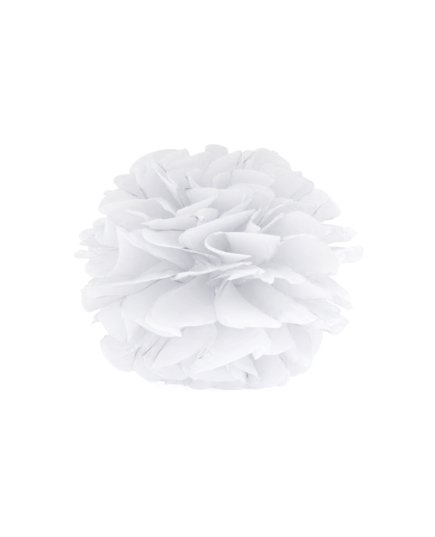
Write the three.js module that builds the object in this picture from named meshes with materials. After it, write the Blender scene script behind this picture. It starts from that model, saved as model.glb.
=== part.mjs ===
// A tissue paper pom pom. Ten sheets of tissue are stacked, pleated together like a fan, tied across the
// middle with wire, cut round at both ends, and then pulled apart one by one: five up and five down.
// Each sheet stays one piece. It runs from its petal tips on the left, through the tie, to its petal tips
// on the right, and each half opens into a fan of pleat panels with one round petal at the end of each.
// The frame has +X along the pleats, +Z up, and the floor that the lowest petals press on at Z = 0.
import * as THREE from 'three';

// Driving dimensions, in millimetres.
const sheetCount = 10;
const panelCount = 12;           // pleat panels across a sheet
const panelWidth = 34;           // from one fold to the next
const reach = 124;               // from the tie to the tip of a petal
const reachSpread = 0.045;       // how much longer or shorter a petal may be, as a share
const scallopDepth = 13;         // how far the round cut falls back at each fold
const flattening = 0.88;         // height over width of the whole ball
const narrowing = 0.96;          // depth over width
const tiePlace = [-3.25, -1.05, 102];  // above the middle of the floor under the ball
const paperThickness = 0.38;      // stands in for tissue of 0.03 mm
const mostMitre = 1.3;           // how far a sharp fold's edge may stand out, in paper thicknesses
const floorGap = 1.2;            // between sheets where the floor presses them flat
const sheetPitch = 0.95;         // from one sheet to the next inside the tie
const bundleRadius = 5.2;        // of the gathered paper inside the tie
const neckHalf = 1.3;            // half the length of straight paper inside the tie
const neckFade = 6;              // how soon the gathered paper opens into its fans
const wireDiameter = 0.9;
const wireGap = 0.35;            // between the gathered paper and the wire
const tailLength = 16;           // of the two wire ends, twisted together

// How far each sheet is pulled up on each side, from the top sheet down, in degrees.
const sheetLift = {
  left: [68, 53.5, 38.5, 23.5, 8, -8, -23.5, -38.5, -53.5, -68],
  right: [68, 53, 37.5, 22, 6.5, -9, -24.5, -39.5, -54, -68],
};

// How the petals sit at the rim, in degrees.
const seamGap = 3;               // between the two fans of one sheet
const seamLean = 13;             // how far that gap lies to the left and right of the middle in turn
const sideLean = 5;              // how far petals lean left and right elsewhere
const liftLean = 4;              // and up and down
const leanPeriod = 31.5;         // of lift, so that neighbouring sheets lean opposite ways
const petalStray = 4;            // how far one fold strays up or down from its neighbours
const petalDroop = 4;

// How uneven the folds are, in panels: where all sheets lie together, and at the rim of one sheet.
const sharedUnevenness = 0.2;
const ownUnevenness = 0.45;

// Distances from the tie over which the paper changes: it rises out of the gathers to its lift, its pleats
// gain their depth, and each sheet stops following its neighbours.
const riseDistance = { level: 12.5, steep: 8.5 };
const pleatsFrom = 7;
const pleatsFull = 30;
const steepPleatsFull = 50;
const ownFrom = 0.6 * reach;

// Where a sheet is divided: from the tie outwards, and across one panel of its inner and outer part.
const alongSteps = [0, 0.05, 0.09, 0.16, 0.28, 0.46, 0.72, 1];
const outerFrom = 0.72;
const innerSteps = [0];
const outerSteps = [0, 0.24, 0.76];

const radians = THREE.MathUtils.degToRad;
const lerp = THREE.MathUtils.lerp;
const smoothstep = THREE.MathUtils.smoothstep;

// A repeatable scatter from -1 to 1, the same for the same four numbers.
function scatter(sheet, side, fold, use) {
  const mixed = Math.sin(sheet * 12.9898 + side * 37.719 + fold * 78.233 + use * 4.1414) * 43758.5453;
  return 2 * (mixed - Math.floor(mixed)) - 1;
}

// The azimuth of each fold of one fan at this distance from the tie. Near the tie all sheets lie in each
// other's folds, and towards the rim each sheet opens its own panels wider or narrower.
function foldAzimuths(sheet, side, distance) {
  const own = smoothstep(distance, ownFrom, reach);
  const end = radians(90 - seamGap / 2);
  const azimuths = [];
  for (let fold = 0; fold <= panelCount; fold++) {
    const shared = sharedUnevenness * scatter(0, side, fold, 5);
    const free = ownUnevenness * scatter(sheet + 1, side, fold, 1);
    const isEnd = fold === 0 || fold === panelCount;
    const shift = isEnd ? 0 : lerp(shared, free, own);
    azimuths.push(lerp(-end, end, (fold + shift) / panelCount));
  }
  return azimuths;
}

// How far each panel of a fan has to rise or fall, as an angle, to keep its width.
function panelRises(lift, azimuths, distance) {
  const width = panelWidth / distance;
  const rises = [];
  for (let panel = 0; panel < panelCount; panel++) {
    const spacing = Math.cos(lift) * (azimuths[panel + 1] - azimuths[panel]);
    rises.push(Math.sqrt(Math.max(width ** 2 - spacing ** 2, (0.15 * width) ** 2)));
  }
  return rises;
}

// The azimuth and lift of one fold at this distance from the tie. Folds are ridges and valleys in turn. A
// steep sheet has little room for them below the pole.
function foldAt(sheet, side, fold, distance) {
  const full = radians(sheetLift[side < 0 ? 'left' : 'right'][sheet]);
  const azimuths = foldAzimuths(sheet, side, distance);
  const rises = panelRises(full, azimuths, distance);
  const before = rises[Math.max(fold - 1, 0)];
  const after = rises[Math.min(fold, panelCount - 1)];
  const squeeze = lerp(flattening, 1, Math.abs(Math.sin(full)));
  const depth = (before + after) / 4 / squeeze * smoothstep(distance, pleatsFrom, pleatsFull);
  const room = Math.PI / 2 - Math.abs(full);
  const roomShare = lerp(0.5, 0.95, smoothstep(distance, 15, steepPleatsFull));
  const zigzag = (fold % 2 ? 1 : -1) * Math.min(depth, room * roomShare);

  const riseOver = lerp(riseDistance.level, riseDistance.steep, Math.abs(full) / radians(71));
  const rise = 1 - Math.exp(-((distance / riseOver) ** 2));
  const strayShare = smoothstep(distance, reach / 2, reach);
  const stray = radians(petalStray) * strayShare * scatter(sheet + 1, side, fold, 3);
  const droop = radians(petalDroop) * (distance / reach) ** 3;
  return { azimuth: azimuths[fold], lift: full * rise + zigzag + stray - droop };
}

// Neighbouring sheets lean opposite ways, a little everywhere and more where their two fans part, so that
// each sheet covers the gap in the next and no seam shows.
function lean(point) {
  const distance = point.length() + 1e-6;
  const azimuth = Math.atan2(point.y, point.x);
  const lift = Math.asin(point.z / distance);
  const share = smoothstep(distance, ownFrom, reach);
  const level = 2 * Math.PI * lift / radians(leanPeriod);
  const seam = Math.sin(azimuth) ** 4;
  const sideways = seamLean * seam * Math.sin(level + 0.4) + sideLean * Math.sin(level + 3 * azimuth + 1);
  const upward = liftLean * Math.cos(lift) * Math.sin(level + 1) * Math.sin(4 * azimuth + 2);
  const turned = azimuth + share * radians(sideways);
  const raised = lift + share * radians(upward);
  point.set(
    distance * Math.cos(raised) * Math.cos(turned),
    distance * Math.cos(raised) * Math.sin(turned),
    distance * Math.sin(raised),
  );
}

// Slow bends that run through the whole ball, so that neighbouring sheets bend together.
function bend(point) {
  const { x, y, z } = point;
  const share = smoothstep(point.length(), 15, 70);
  point.x += share * 3.2 * Math.sin(y / 27 + 1.1) * Math.cos(z / 33);
  point.y += share * 3.2 * Math.sin(z / 25 + 0.4) * Math.cos(x / 31);
  point.z += share * 3.4 * Math.sin(x / 29 + 2.3) * Math.cos(y / 26 + 0.5);
}

// A point on the middle of the paper: across counts panels, from 0 at the front edge, and along runs
// from 0 at the tie to 1 at the rim.
function paperPoint(sheet, side, across, along) {
  const panel = Math.min(Math.floor(across), panelCount - 1);
  const inPanel = across - panel;
  const round = 1 - Math.sqrt(1 - (2 * inPanel - 1) ** 2);
  const tip = reach * (1 + reachSpread * scatter(sheet, side, panel, 2));
  const distance = Math.max((tip - scallopDepth * round) * along, 1e-3);
  const before = foldAt(sheet, side, panel, distance);
  const after = foldAt(sheet, side, panel + 1, distance);
  const azimuth = lerp(before.azimuth, after.azimuth, inPanel);
  const lift = lerp(before.lift, after.lift, inPanel);

  const level = ((sheetCount - 1) / 2 - sheet) * sheetPitch;
  const neckWidth = Math.sqrt(bundleRadius ** 2 - level ** 2) * Math.exp(-distance / neckFade);
  const point = new THREE.Vector3(
    side * (neckHalf + distance * Math.cos(lift) * Math.cos(azimuth)),
    distance * Math.cos(lift) * Math.sin(azimuth) * narrowing + neckWidth * (2 * across / panelCount - 1),
    distance * Math.sin(lift) * flattening + level,
  );
  lean(point);
  bend(point);
  return point.add(new THREE.Vector3(...tiePlace));
}

// Rows of points from the left rim, through the tie, to the right rim. The outer rows follow the round
// ends of the petals, and the inner ones need only the folds.
function paperRows(sheet) {
  const rowAt = (side, along) => {
    const steps = along >= outerFrom ? outerSteps : innerSteps;
    const row = [];
    for (let panel = 0; panel < panelCount; panel++) row.push(...steps.map((step) => panel + step));
    row.push(panelCount);
    return row.map((across) => ({ across, point: paperPoint(sheet, side, across, along) }));
  };
  const left = [...alongSteps].reverse().map((along) => rowAt(-1, along));
  const right = alongSteps.map((along) => rowAt(1, along));
  return [...left, ...right];
}

// The triangles between two rows of points, which may be divided differently. A triangle names its points
// by their number in the whole sheet, where each row's first point has the number given here.
function stitch(rowA, rowB, firstA, firstB) {
  const faces = [];
  let a = 0;
  let b = 0;
  while (a < rowA.length - 1 || b < rowB.length - 1) {
    const nextA = a < rowA.length - 1 ? rowA[a + 1].across : Infinity;
    const nextB = b < rowB.length - 1 ? rowB[b + 1].across : Infinity;
    if (nextB <= nextA) {
      faces.push([firstA + a, firstB + b, firstB + b + 1]);
      b++;
    } else {
      faces.push([firstA + a, firstB + b, firstA + a + 1]);
      a++;
    }
  }
  return faces;
}

// The numbers of the points round the edge of a sheet, in order.
function edgeOf(rows, firsts) {
  const last = rows.length - 1;
  const edge = rows[0].map((entry, i) => i);
  for (let row = 1; row < last; row++) edge.push(firsts[row] + rows[row].length - 1);
  for (let i = rows[last].length - 1; i >= 0; i--) edge.push(firsts[last] + i);
  for (let row = last - 1; row > 0; row--) edge.push(firsts[row]);
  return edge;
}

// The way out of the paper at each point, as long as it has to be for the faces round the point to keep
// their thickness. Each face counts by its angle there, so both sides of a fold count alike.
function waysOut(points, faces) {
  const ways = points.map(() => new THREE.Vector3());
  const facing = faces.map(([a, b, c]) => new THREE.Triangle(points[a], points[b], points[c])
    .getNormal(new THREE.Vector3()));
  faces.forEach((face, i) => face.forEach((corner, j) => {
    const toNext = points[face[(j + 1) % 3]].clone().sub(points[corner]);
    const toLast = points[face[(j + 2) % 3]].clone().sub(points[corner]);
    ways[corner].addScaledVector(facing[i], toNext.angleTo(toLast));
  }));
  ways.forEach((way) => way.normalize());
  const share = points.map(() => 1);
  faces.forEach((face, i) => face.forEach((corner) => {
    share[corner] = Math.min(share[corner], ways[corner].dot(facing[i]));
  }));
  return ways.map((way, i) => way.divideScalar(Math.max(share[i], 1 / mostMitre)));
}

// The closed solid of one sheet: an upper and a lower face, half the thickness to each side of the middle
// of the paper and pressed flat where they meet the floor, and a strip round the edge.
function sheetGeometry(sheet) {
  const rows = paperRows(sheet);
  const firsts = [0];
  for (const row of rows) firsts.push(firsts.at(-1) + row.length);
  const faces = [];
  for (let row = 0; row < rows.length - 1; row++) {
    faces.push(...stitch(rows[row], rows[row + 1], firsts[row], firsts[row + 1]));
  }
  const points = rows.flat().map((entry) => entry.point);
  const ways = waysOut(points, faces);
  const floor = (sheetCount - 1 - sheet) * floorGap;
  const faceOf = (direction, lowest) => points.map((point, i) => {
    const moved = point.clone().addScaledVector(ways[i], direction * paperThickness / 2);
    return moved.setZ(Math.max(moved.z, lowest));
  });
  const upper = faceOf(1, floor + paperThickness);
  const lower = faceOf(-1, floor);

  const count = points.length;
  const index = [];
  for (const [a, b, c] of faces) index.push(a, b, c, a + count, c + count, b + count);
  const edge = edgeOf(rows, firsts);
  edge.forEach((a, i) => {
    const b = edge[(i + 1) % edge.length];
    index.push(a, b, b + count, a, b + count, a + count);
  });
  const geometry = new THREE.BufferGeometry().setFromPoints([...upper, ...lower]);
  geometry.setIndex(index);
  return geometry;
}

// One length of wire: a twisted end, once round the gathered paper, and the other twisted end.
function tieGeometry() {
  const ring = bundleRadius + wireGap + wireDiameter / 2;
  const twist = wireDiameter * 0.85;
  const tailSteps = 12;
  const ringSteps = 16;
  const tail = (share, phase) => new THREE.Vector3(
    twist * Math.sin(phase + share * 5 * Math.PI),
    ring + 1.6 + share * tailLength,
    twist * Math.cos(phase + share * 5 * Math.PI),
  );
  const points = [];
  for (let step = tailSteps; step >= 0; step--) points.push(tail(step / tailSteps, 0));
  for (let step = 1; step < ringSteps; step++) {
    const turn = radians(lerp(15, 345, step / ringSteps));
    points.push(new THREE.Vector3(0, ring * Math.cos(turn), ring * Math.sin(turn)));
  }
  for (let step = 0; step <= tailSteps; step++) points.push(tail(step / tailSteps, Math.PI));
  const section = new THREE.Shape().absarc(0, 0, wireDiameter / 2, 0, 2 * Math.PI);
  const geometry = new THREE.ExtrudeGeometry(section, {
    extrudePath: new THREE.CatmullRomCurve3(points),
    steps: 70,
    curveSegments: 3,
  });
  return geometry.translate(...tiePlace);
}

const tissue = new THREE.MeshStandardMaterial({
  name: 'tissue',
  color: 0xf4f4f6,
  roughness: 0.9,
  metalness: 0,
});
const wire = new THREE.MeshStandardMaterial({
  name: 'wire',
  color: 0xe8e8e8,
  roughness: 0.45,
  metalness: 0,
});

const pomPom = new THREE.Group();
for (let sheet = 0; sheet < sheetCount; sheet++) {
  const mesh = new THREE.Mesh(sheetGeometry(sheet), tissue);
  mesh.name = `tissue_sheet_${String(sheet + 1).padStart(2, '0')}`;
  pomPom.add(mesh);
}
const tie = new THREE.Mesh(tieGeometry(), wire);
tie.name = 'tie_wire';
pomPom.add(tie);

export default pomPom;
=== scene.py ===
# A white tissue paper pom pom: ten pleated sheets of tissue, tied with wire in the middle and pulled apart.
import math

import bmesh
import bpy
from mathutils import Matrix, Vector, noise


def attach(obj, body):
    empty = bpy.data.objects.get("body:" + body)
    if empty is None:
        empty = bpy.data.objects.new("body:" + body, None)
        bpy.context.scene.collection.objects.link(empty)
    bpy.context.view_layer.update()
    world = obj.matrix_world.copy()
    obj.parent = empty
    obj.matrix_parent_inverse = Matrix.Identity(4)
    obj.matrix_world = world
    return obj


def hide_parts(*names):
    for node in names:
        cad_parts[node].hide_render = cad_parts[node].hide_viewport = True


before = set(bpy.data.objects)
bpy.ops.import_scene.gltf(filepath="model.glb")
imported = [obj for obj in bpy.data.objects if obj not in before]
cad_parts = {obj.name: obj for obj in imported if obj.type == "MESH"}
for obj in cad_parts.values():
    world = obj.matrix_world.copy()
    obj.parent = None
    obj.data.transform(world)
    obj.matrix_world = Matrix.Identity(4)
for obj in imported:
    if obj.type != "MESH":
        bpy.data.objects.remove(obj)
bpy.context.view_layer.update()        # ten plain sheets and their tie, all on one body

scene = bpy.context.scene
scene.view_settings.view_transform = "Standard"
mm = 0.001


def lerp(low, high, share):
    return low + (high - low) * share


def smoothStep(value, low, high):
    share = min(max((value - low) / (high - low), 0), 1)
    return share * share * (3 - 2 * share)


def linearColor(hexText):  # sRGB hex to the linear colour that a shader takes
    channels = [int(hexText[i:i + 2], 16) / 255 for i in (1, 3, 5)]
    return [c / 12.92 if c <= 0.04045 else ((c + 0.055) / 1.055) ** 2.4 for c in channels] + [1]


def addNode(tree, kind, settings=None, links=None):  # a node, its values and what feeds it
    node = tree.nodes.new(kind)
    for name, value in (settings or {}).items():
        if isinstance(name, str) and hasattr(node, name):
            setattr(node, name, value)
        else:
            node.inputs[name].default_value = value
    for name, output in (links or {}).items():
        tree.links.new(output, node.inputs[name])
    return node


def newMaterial(name):
    material = bpy.data.materials.new(name)
    material.use_nodes = True
    material.node_tree.nodes.clear()
    return material, material.node_tree


# A smooth-shaded object at the origin, in place of its CAD node.
def finishPiece(name, bm, material, node):
    mesh = bpy.data.meshes.new(name)
    bm.to_mesh(mesh)
    bm.free()
    mesh.shade_smooth()
    mesh.materials.append(material)
    piece = bpy.data.objects.new(name, mesh)
    scene.collection.objects.link(piece)
    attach(piece, "root")
    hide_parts(node)
    return piece


studio = {                            # metres, apart from the film
    "aim": (-0.002, -0.001, 0.102),   # the tie
    "distance": 1.5,
    "elevation": 5,                   # degrees
    "widthSeen": 0.3865,              # across the picture at the ball
    "filmWidth": 36,                  # millimetres
    "nearestSeen": 0.05,
    "farthestSeen": 100,
    "floorSize": 40,
    "floorDrop": 0.0002,              # just clear of the lowest petals
    "floorColor": "#fbfbfc",
    "floorGlow": 0.31,                # lit a little from below, so that it stays as white as the sky
    "skyStrength": 0.72,
    "skySeen": 1.05,                  # behind the ball, so that it stands on plain white
    "keyPlace": (0.8, -0.9, 1.5),
    "keySize": 0.8,
    "keyPower": 4.4,                  # watts
}


def buildCamera():
    tilt = math.radians(studio["elevation"])
    away = Vector((0, -math.cos(tilt), math.sin(tilt))) * studio["distance"]
    camera = bpy.data.objects.new("camera", bpy.data.cameras.new("camera"))
    camera.data.sensor_fit = "HORIZONTAL"
    camera.data.sensor_width = studio["filmWidth"]
    camera.data.lens = studio["filmWidth"] * studio["distance"] / studio["widthSeen"]
    camera.data.clip_start = studio["nearestSeen"]
    camera.data.clip_end = studio["farthestSeen"]
    camera.location = Vector(studio["aim"]) + away
    camera.rotation_euler = (-away).to_track_quat("-Z", "Y").to_euler()
    scene.collection.objects.link(camera)
    scene.camera = camera


def buildSky():
    world = bpy.data.worlds.new("sky")
    world.use_nodes = True
    tree = world.node_tree
    tree.nodes.clear()
    ray = addNode(tree, "ShaderNodeLightPath")
    strength = addNode(tree, "ShaderNodeMapRange",
                       {"To Min": studio["skyStrength"], "To Max": studio["skySeen"]},
                       {"Value": ray.outputs["Is Camera Ray"]})
    sky = addNode(tree, "ShaderNodeBackground", {"Color": (1, 1, 1, 1)}, {"Strength": strength.outputs[0]})
    addNode(tree, "ShaderNodeOutputWorld", links={"Surface": sky.outputs[0]})
    scene.world = world


def buildFloor():
    material, tree = newMaterial("whiteAcrylicFloor")  # opal acrylic sheet, even and matt
    shader = addNode(tree, "ShaderNodeBsdfPrincipled", {
        "Base Color": linearColor(studio["floorColor"]),
        "Roughness": 0.8,
        "Specular IOR Level": 0.1,
        "Emission Color": (1, 1, 1, 1),
        "Emission Strength": studio["floorGlow"],
    })
    addNode(tree, "ShaderNodeOutputMaterial", links={"Surface": shader.outputs[0]})
    bm = bmesh.new()
    bmesh.ops.create_grid(bm, x_segments=1, y_segments=1, size=studio["floorSize"] / 2)
    mesh = bpy.data.meshes.new("floor")
    bm.to_mesh(mesh)
    bm.free()
    mesh.materials.append(material)
    floor = bpy.data.objects.new("floor", mesh)
    floor.location.z = -studio["floorDrop"]
    scene.collection.objects.link(floor)


def buildSoftbox():
    light = bpy.data.lights.new("softbox", "AREA")
    light.size = studio["keySize"]
    light.energy = studio["keyPower"]
    softbox = bpy.data.objects.new("softbox", light)
    softbox.location = studio["keyPlace"]
    toBall = Vector(studio["aim"]) - softbox.location
    softbox.rotation_euler = toBall.to_track_quat("-Z", "Y").to_euler()
    scene.collection.objects.link(softbox)


buildCamera()
buildSky()
buildFloor()
buildSoftbox()
print("studio: camera, sky, floor, softbox")

sheetShape = {                        # millimetres and degrees; From and Full are distances from the tie
    "sheets": 10,
    "panels": 12,                     # pleat panels across a sheet
    "panelWidth": 34,
    "reach": 124,                     # from the tie to the tip of a petal
    "reachSpread": 0.045,
    "scallopDepth": 13,               # how far the round cut falls back at each fold
    "raggedness": 1.4,                # unevenness of the cut itself
    "paperThickness": 0.1,
    "tiePlace": (-3.25, -1.05, 102),

    "sheetPitch": 0.95,               # inside the tie
    "bundleRadius": 5.2,
    "neckHalf": 1.3,
    "neckFade": 6,

    "liftLeft": (68, 53.5, 38.5, 23.5, 8, -8, -23.5, -38.5, -53.5, -66),  # of each sheet, from the top one
    "liftRight": (68, 53, 37.5, 22, 6.5, -9, -24.5, -39.5, -54, -66.5),
    "liftFront": (68, 56.5, 44.5, 32.5, 20.5, 6.5, -15.5, -33, -50, -65),
    "frontFrom": 0.08,                # shares of a fan, from its middle to its front end
    "frontFull": 0.4,
    "steepest": 88,
    "riseLevel": 12.5,                # how soon a level sheet turns up to its lift
    "riseSteep": 8.5,                 # and a steep one
    "riseSteepAt": 71,                # the lift that counts as steep
    "flattening": 0.88,               # the ball is lower than it is wide
    "narrowing": 0.96,
    "floorGap": 1.2,                  # between sheets where the floor presses them flat

    "pleatsFrom": 4,
    "pleatsFull": 22,
    "leastRise": 0.15,                # of a panel's own width
    "pleatRoom": 0.6,                 # near the tie, the share of the room up to the pole that pleats may take
    "openPleatRoom": 0.88,            # and further out
    "pleatRoomFrom": 12,
    "pleatRoomFull": 42,
    "flatSheet": 5,                   # the sheet whose front petals lie level
    "flatShare": 0.85,
    "flatFrom": 40,
    "flatFull": 90,

    "seamGap": 0.7,                   # between the two fans of a sheet
    "seamOverlap": 2,                 # the fans' end petals lap over each other
    "seamOverlapFrom": 25,
    "seamOverlapFull": 70,
    "seamFolds": 2,                   # folds that lift for the lap
    "seamLift": 3,
    "seamLiftFrom": 15,
    "seamLiftFull": 60,
    "seamLean": 20,
    "seamLeanFrom": 18,

    "ownFrom": 74.4,                  # where each sheet starts to differ from its neighbours
    "sharedUnevenness": 0.2,          # of the fold spacing
    "ownUnevenness": 0.36,
    "petalStray": 4,
    "petalDroop": 4,
    "sideLean": 5,
    "liftLean": 4,
    "leanPeriod": 31.5,
    "bend": (3.2, 3.2, 3.4),
    "bendFrom": 15,
    "bendFull": 70,

    "buckleFrom": 4,
    "buckleFull": 16,
    "wideBuckle": 0.62,               # most that a buckle stands up, as a share of its panel's rise
    "fineBuckle": 0.4,
    "foldSoftness": 0.8,              # how far the folds open into round waves at the tips
    "foldSoftnessFrom": 45,
    "foldSoftnessFull": 115,
    "petalBulge": 4,                  # how far a petal's middle stands off the straight
    "petalBulgeFrom": 45,
    "tipCurl": 6,
    "tipCurlFrom": 0.72,              # share of the reach
    "ruffle": 1.3,                    # waves of the cut edge
    "ruffleFrom": 0.7,                # share of the reach
    "crumple": 1.2,
    "wrinkle": 1.6,
    "crumpleFrom": 20,
    "crumpleFull": 60,

    "acrossSteps": 12,                # mesh divisions in one panel
    "alongSteps": 40,                 # and from the tie to a tip
    "alongCrowding": 1.2,             # above 1, they are closer at the tie
}


def scatter(sheet, side, fold, use):  # -1 to 1, the same for the same four numbers
    mixed = math.sin(sheet * 12.9898 + side * 37.719 + fold * 78.233 + use * 4.1414) * 43758.5453
    return 2 * (mixed - math.floor(mixed)) - 1


def petalScatter(sheet, side, fold, use):  # the end folds of the two fans lap, so they share theirs
    return scatter(sheet + 1, side if 0 < fold < sheetShape["panels"] else 0, fold, use)


def foldAzimuth(sheet, side, fold, distance):
    s = sheetShape
    lapped = smoothStep(distance, s["seamOverlapFrom"], s["seamOverlapFull"])
    end = math.radians(90 - s["seamGap"] / 2 + s["seamOverlap"] * lapped)
    shift = 0
    if 0 < fold < s["panels"]:
        own = smoothStep(distance, s["ownFrom"], s["reach"])
        shared = s["sharedUnevenness"] * scatter(0, side, fold, 5)
        shift = lerp(shared, s["ownUnevenness"] * scatter(sheet + 1, side, fold, 1), own)
    return lerp(-end, end, (fold + shift) / s["panels"])


# The rise that lets the panels beside a fold keep their width, at this distance.
def riseWanted(sheet, side, fold, distance, full):
    s = sheetShape
    width = s["panelWidth"] / distance
    nearby = range(max(fold - 1, 0), min(fold + 1, s["panels"]) + 1)
    azimuths = [foldAzimuth(sheet, side, near, distance) for near in nearby]
    rises = [math.sqrt(max(width ** 2 - (math.cos(full) * (b - a)) ** 2, (s["leastRise"] * width) ** 2))
             for a, b in zip(azimuths, azimuths[1:])]
    return (rises[0] + rises[-1]) / 2 / lerp(s["flattening"], 1, abs(math.sin(full)))


def foldAt(sheet, side, fold, distance):  # azimuth and lift of one fold, and how far its panels want to rise
    s = sheetShape
    front = smoothStep(0.5 - fold / s["panels"], s["frontFrom"], s["frontFull"])
    sideLift = s["liftLeft" if side < 0 else "liftRight"][sheet]
    full = math.radians(lerp(sideLift, s["liftFront"][sheet], front))
    wanted = riseWanted(sheet, side, fold, distance, full)

    depth = wanted / 2 * smoothStep(distance, s["pleatsFrom"], s["pleatsFull"])
    room = math.pi / 2 - abs(full)
    roomOpened = smoothStep(distance, s["pleatRoomFrom"], s["pleatRoomFull"])
    roomShare = lerp(s["pleatRoom"], s["openPleatRoom"], roomOpened)
    level = 1
    if sheet == s["flatSheet"]:
        level -= s["flatShare"] * front * smoothStep(distance, s["flatFrom"], s["flatFull"])
    zigzag = (1 if fold % 2 else -1) * min(depth, room * roomShare) * level

    riseOver = lerp(s["riseLevel"], s["riseSteep"], abs(full) / math.radians(s["riseSteepAt"]))
    rise = 1 - math.exp(-((distance / riseOver) ** 2))
    strayShare = smoothStep(distance, s["reach"] / 2, s["reach"])
    stray = math.radians(s["petalStray"]) * strayShare * petalScatter(sheet, side, fold, 3)
    droop = math.radians(s["petalDroop"]) * (distance / s["reach"]) ** 3
    lapShare = smoothStep(distance, s["seamLiftFrom"], s["seamLiftFull"])
    endShare = max(1 - min(fold, s["panels"] - fold) / s["seamFolds"], 0) * lapShare
    lapSign = 1 if (side < 0) == (fold < s["panels"] / 2) else -1
    lap = math.radians(s["seamLift"]) * endShare * lapSign
    return foldAzimuth(sheet, side, fold, distance), full * rise + zigzag + stray + lap - droop, wanted


def lean(point):  # neighbouring sheets lean opposite ways, most where their two fans part
    s = sheetShape
    distance = point.length + 1e-6
    azimuth = math.atan2(point.y, point.x)
    lift = math.asin(point.z / distance)
    share = smoothStep(distance, s["ownFrom"], s["reach"])
    seamShare = smoothStep(distance, s["seamLeanFrom"], s["reach"])
    level = 2 * math.pi * lift / math.radians(s["leanPeriod"])
    sideways = share * s["sideLean"] * math.sin(level + 3 * azimuth + 1)
    sideways += seamShare * s["seamLean"] * math.sin(azimuth) ** 4 * math.sin(level + 0.4)
    upward = s["liftLean"] * math.cos(lift) * math.sin(level + 1) * math.sin(4 * azimuth + 2)
    azimuth += math.radians(sideways)
    lift += share * math.radians(upward)
    outward = math.cos(lift)
    return Vector((outward * math.cos(azimuth), outward * math.sin(azimuth), math.sin(lift))) * distance


def bend(point):  # slow bends that run through the whole ball, each wave about 150 to 210 mm long
    x, y, z = point
    sizeX, sizeY, sizeZ = sheetShape["bend"]
    share = smoothStep(point.length, sheetShape["bendFrom"], sheetShape["bendFull"])
    return point + share * Vector((
        sizeX * math.sin(y / 27 + 1.1) * math.cos(z / 33),
        sizeY * math.sin(z / 25 + 0.4) * math.cos(x / 31),
        sizeZ * math.sin(x / 29 + 2.3) * math.cos(y / 26 + 0.5),
    ))


# What flat panels lack, in millimetres along the lift. The noise is measured in panel widths.
def softness(sheet, side, panel, inPanel, distance):
    s = sheetShape
    outer = smoothStep(distance, s["petalBulgeFrom"], s["reach"])
    bulge = s["petalBulge"] * scatter(sheet + 1, side, panel, 7) * 4 * inPanel * (1 - inPanel) * outer
    curl = lerp(petalScatter(sheet, side, panel, 8), petalScatter(sheet, side, panel + 1, 8), inPanel)
    tip = s["tipCurl"] * curl * smoothStep(distance, s["tipCurlFrom"] * s["reach"], s["reach"]) ** 2
    place = Vector((panel + inPanel, distance / s["panelWidth"], sheet * 3.7 + side * 11.3))
    crumple = s["crumple"] * (noise.noise(place * 1.9) + 0.45 * noise.noise(place * 4.3))
    rays = Vector((place.x * 3.4, place.y * 0.8, place.z))  # wrinkles run out from the tie
    wrinkle = s["wrinkle"] * (1 - 2 * abs(noise.noise(rays))) * noise.noise(place * 0.9 + Vector((5, 9, 2)))
    ruffle = s["ruffle"] * noise.noise(Vector((place.x * 3.8, place.y * 1.3, place.z + 40)))
    ruffle *= smoothStep(distance, s["ruffleFrom"] * s["reach"], s["reach"])
    crumpled = smoothStep(distance, s["crumpleFrom"], s["crumpleFull"])
    return bulge + tip + ruffle + (crumple + wrinkle) * crumpled


# The distance from the tie: along runs from 0 there to 1 at the ragged round cut.
def distanceAt(sheet, side, across, panel, along):
    s = sheetShape
    roundEnd = 1 - math.sqrt(max(1 - (2 * (across - panel) - 1) ** 2, 0))
    tip = s["reach"] * (1 + s["reachSpread"] * scatter(sheet, side, panel, 2))
    tip += s["raggedness"] * noise.noise(Vector((across * 2.6, sheet * 5.1, side * 7.7)))
    return max((tip - s["scallopDepth"] * roundEnd) * along, 1e-3)


# Where a panel has no room to stand at its full width, it buckles.
def buckle(wanted, rise, inPanel, distance):
    s = sheetShape
    spare = max(wanted - abs(rise), 0) * smoothStep(distance, s["buckleFrom"], s["buckleFull"])
    wide = min(spare / 4, abs(rise) * s["wideBuckle"])
    fine = min((spare - 4 * wide) / 8, abs(rise) * s["fineBuckle"])
    stand = wide * math.sin(2 * math.pi * inPanel) + fine * math.sin(4 * math.pi * inPanel)
    return math.copysign(stand, rise)


def paperPoint(sheet, side, across, along):
    s = sheetShape
    panel = min(int(across), s["panels"] - 1)
    inPanel = across - panel
    distance = distanceAt(sheet, side, across, panel, along)
    azimuthA, liftA, wantedA = foldAt(sheet, side, panel, distance)
    azimuthB, liftB, wantedB = foldAt(sheet, side, panel + 1, distance)
    azimuth = lerp(azimuthA, azimuthB, inPanel)
    opened = s["foldSoftness"] * smoothStep(distance, s["foldSoftnessFrom"], s["foldSoftnessFull"])
    lift = lerp(liftA, liftB, lerp(inPanel, smoothStep(inPanel, 0, 1), opened))
    lift += buckle((wantedA + wantedB) / 2, liftB - liftA, inPanel, distance)
    lift += softness(sheet, side, panel, inPanel, distance) / (distance + 5)
    steepest = math.radians(s["steepest"])
    lift = min(max(lift, -steepest), steepest)

    level = ((s["sheets"] - 1) / 2 - sheet) * s["sheetPitch"]
    neckWidth = math.sqrt(s["bundleRadius"] ** 2 - level ** 2) * math.exp(-distance / s["neckFade"])
    inNeck = neckWidth * (2 * across / s["panels"] - 1)
    point = Vector((
        side * (s["neckHalf"] + distance * math.cos(lift) * math.cos(azimuth)),
        distance * math.cos(lift) * math.sin(azimuth) * s["narrowing"] + inNeck,
        distance * math.sin(lift) * s["flattening"] + level,
    ))
    point = bend(lean(point)) + Vector(s["tiePlace"])
    point.z = max(point.z, (s["sheets"] - 1 - sheet) * s["floorGap"] + s["paperThickness"])
    return point * mm


def flatWidth():  # of a whole sheet before it was pleated
    return sheetShape["panels"] * sheetShape["panelWidth"]


def flatLength():  # tip to tip, before the sheet was gathered
    return 2 * (sheetShape["reach"] + sheetShape["neckHalf"])


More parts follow.
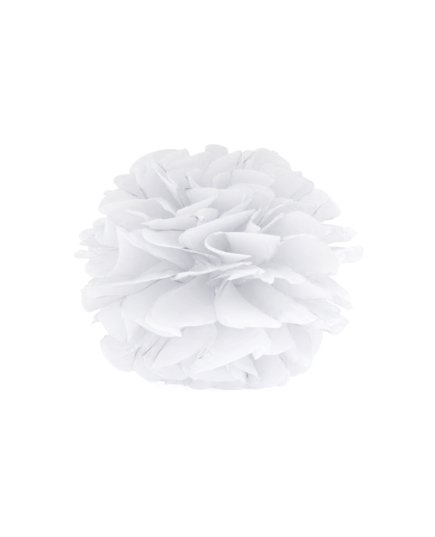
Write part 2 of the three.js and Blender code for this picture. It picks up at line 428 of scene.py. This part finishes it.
def buildSheet(sheet, material):
    s = sheetShape
    columns = s["panels"] * s["acrossSteps"]
    rows = 2 * s["alongSteps"] + 1
    bm = bmesh.new()
    bmesh.ops.create_grid(bm, x_segments=columns, y_segments=rows, size=0.5)
    uvLayer = bm.loops.layers.uv.new("flatSheet")
    flat = {}
    for vert in bm.verts:
        column = round((vert.co.x + 0.5) * columns)
        row = round((vert.co.y + 0.5) * rows)
        side = -1 if row <= s["alongSteps"] else 1
        step = s["alongSteps"] - row if side < 0 else row - s["alongSteps"] - 1
        along = (step / s["alongSteps"]) ** s["alongCrowding"]
        across = column / s["acrossSteps"]
        flatPlace = 0.5 + side * (s["neckHalf"] + s["reach"] * along) / flatLength()
        flat[vert.index] = (across / s["panels"], flatPlace)
        vert.co = paperPoint(sheet, side, across, along)
    for face in bm.faces:
        for loop in face.loops:
            loop[uvLayer].uv = flat[loop.vert.index]
    number = f"{sheet + 1:02d}"
    piece = finishPiece(f"tissueSheet{number}", bm, material, f"tissue_sheet_{number}")
    wall = piece.modifiers.new("wall", "SOLIDIFY")
    wall.thickness = s["paperThickness"] * mm
    wall.offset = 0
    piece.modifiers.new("evenShading", "WEIGHTED_NORMAL")  # so that the thin rim doesn't darken the edge
    return piece


# Tissue: a thin uncoated paper of beaten softwood fibre, dried on one smooth cylinder. It gives the eye a
# soft matt white that light passes through, faintly cloudy where the fibres lie thicker.
tissueLook = {
    "thin": "#fbfbfb",
    "thick": "#f6f6f7",
    "glow": "#fcfcfc",                # light that has come through
    "paintedGlow": "#f4f4ff",          # painted glow: a faint emission on the paper, standing in for light scattered between the sheets
    "paintedGlowStrength": 0.053,
    "through": 0.72,                  # share of the light that passes each face
    "cloudSize": 7,                   # millimetres: real fibre clouds are 1 to 3, too fine to show
    "crumpleSize": 9,
    "creaseSize": 16,
    "creaseWidth": 0.08,              # share of the crease size
    "creaseDepth": 0.25,              # share of the relief
    "reliefDepth": 0.7,               # millimetres
}


def buildTissue():
    look = tissueLook
    material, tree = newMaterial("uncoatedTissuePaper")
    uv = addNode(tree, "ShaderNodeUVMap", {"uv_map": "flatSheet"})
    place = addNode(tree, "ShaderNodeMapping", {"Scale": (flatWidth(), flatLength(), 1)},
                    {"Vector": uv.outputs[0]})  # millimetres on the flat sheet
    cloud = addNode(tree, "ShaderNodeTexNoise",
                    {"Scale": 1 / look["cloudSize"], "Detail": 4, "Roughness": 0.6},
                    {"Vector": place.outputs[0]})
    tone = addNode(tree, "ShaderNodeMix",  # 6 and 7 are the two colours
                   {"data_type": "RGBA", 6: linearColor(look["thick"]), 7: linearColor(look["thin"])},
                   {"Factor": cloud.outputs["Fac"]})
    crumple = addNode(tree, "ShaderNodeTexNoise",
                      {"Scale": 1 / look["crumpleSize"], "Detail": 3, "Roughness": 0.55},
                      {"Vector": place.outputs[0]})
    crease = addNode(tree, "ShaderNodeTexVoronoi",
                     {"feature": "DISTANCE_TO_EDGE", "Scale": 1 / look["creaseSize"], "Randomness": 1},
                     {"Vector": place.outputs[0]})
    creaseLine = addNode(tree, "ShaderNodeMapRange",
                         {"From Min": 0, "From Max": look["creaseWidth"],
                          "To Min": 0, "To Max": look["creaseDepth"]},
                         {"Value": crease.outputs["Distance"]})
    height = addNode(tree, "ShaderNodeMath", {"operation": "ADD"},
                     {0: crumple.outputs["Fac"], 1: creaseLine.outputs[0]})
    relief = addNode(tree, "ShaderNodeBump", {"Strength": 1, "Distance": look["reliefDepth"] * mm},
                     {"Height": height.outputs[0]})
    surface = addNode(tree, "ShaderNodeBsdfPrincipled", {
        "Roughness": 0.9,
        "Specular IOR Level": 0.2,
        "Sheen Weight": 0.1,
        "Sheen Roughness": 0.5,
        # painted glow: the paper gives off a little light of its own, in place of light scattered between its
        # layers
        "Emission Color": linearColor(look["paintedGlow"]),
        "Emission Strength": look["paintedGlowStrength"] / (1 - look["through"]),
    }, {"Base Color": tone.outputs[2], "Normal": relief.outputs[0]})
    through = addNode(tree, "ShaderNodeBsdfTranslucent", {"Color": linearColor(look["glow"])},
                      {"Normal": relief.outputs[0]})
    paper = addNode(tree, "ShaderNodeMixShader", {"Fac": look["through"]},
                    {1: surface.outputs[0], 2: through.outputs[0]})
    addNode(tree, "ShaderNodeOutputMaterial", links={"Surface": paper.outputs[0]})
    return material


# The tie: soft iron florist's wire with a thin white coating, twisted shut at the back.
wireShape = {                         # millimetres
    "diameter": 0.9,
    "gap": 0.35,
    "openAngle": 15,                  # degrees each side of the place where the ring turns into the tails
    "ringSteps": 32,
    "tail": 16,
    "tailStart": 1.6,
    "tailTurns": 2.5,
    "tailSteps": 24,
    "twistRadius": 0.85,              # in wire diameters
    "darkCoat": "#e4e4e6",
    "lightCoat": "#f0f0f1",
    "coatUnevenness": 0.1,
    "coatScale": 900,                 # to the metre, so that the coat's bumps are about 1 mm
}


def wirePath():
    s = wireShape
    ring = sheetShape["bundleRadius"] + s["gap"] + s["diameter"] / 2
    twist = s["diameter"] * s["twistRadius"]

    def tail(share, phase):
        turn = phase + share * 2 * s["tailTurns"] * math.pi
        out = ring + s["tailStart"] + share * s["tail"]
        return Vector((twist * math.sin(turn), out, twist * math.cos(turn)))

    points = [tail(step / s["tailSteps"], 0) for step in range(s["tailSteps"], -1, -1)]
    for step in range(1, s["ringSteps"]):
        turn = math.radians(lerp(s["openAngle"], 360 - s["openAngle"], step / s["ringSteps"]))
        points.append(Vector((0, ring * math.cos(turn), ring * math.sin(turn))))
    points += [tail(step / s["tailSteps"], math.pi) for step in range(s["tailSteps"] + 1)]
    return [(point + Vector(sheetShape["tiePlace"])) * mm for point in points]


def buildCoat():
    s = wireShape
    material, tree = newMaterial("coatedIronWire")  # dip-coated, so slightly glossy and a little uneven
    position = addNode(tree, "ShaderNodeTexCoord")
    uneven = addNode(tree, "ShaderNodeTexNoise", {"Scale": s["coatScale"], "Detail": 2},
                     {"Vector": position.outputs["Object"]})
    relief = addNode(tree, "ShaderNodeBump", {"Strength": 0.3, "Distance": s["coatUnevenness"] * mm},
                     {"Height": uneven.outputs["Fac"]})
    tone = addNode(tree, "ShaderNodeMix",
                   {"data_type": "RGBA", 6: linearColor(s["darkCoat"]), 7: linearColor(s["lightCoat"])},
                   {"Factor": uneven.outputs["Fac"]})
    coat = addNode(tree, "ShaderNodeBsdfPrincipled", {"Roughness": 0.42},
                   {"Base Color": tone.outputs[2], "Normal": relief.outputs[0]})
    addNode(tree, "ShaderNodeOutputMaterial", links={"Surface": coat.outputs[0]})
    return material


def buildWire():
    path = wirePath()
    curve = bpy.data.curves.new("tieWirePath", "CURVE")
    curve.dimensions = "3D"
    curve.bevel_depth = wireShape["diameter"] / 2 * mm
    curve.bevel_resolution = 3
    curve.resolution_u = 3
    curve.use_fill_caps = True
    spline = curve.splines.new("NURBS")
    spline.points.add(len(path) - 1)
    for point, place in zip(spline.points, path):
        point.co = (*place, 1)
    spline.use_endpoint_u = True
    spline.order_u = 3
    holder = bpy.data.objects.new("tieWirePath", curve)
    bm = bmesh.new()
    bm.from_mesh(holder.to_mesh())
    bpy.data.objects.remove(holder)
    bmesh.ops.remove_doubles(bm, verts=bm.verts, dist=1e-7)
    bmesh.ops.recalc_face_normals(bm, faces=bm.faces)
    return finishPiece("tieWire", bm, buildCoat(), "tie_wire")


buildWire()
print("tie wire")
tissue = buildTissue()
for sheetNumber in range(sheetShape["sheets"]):
    buildSheet(sheetNumber, tissue)
print("tissue sheets")
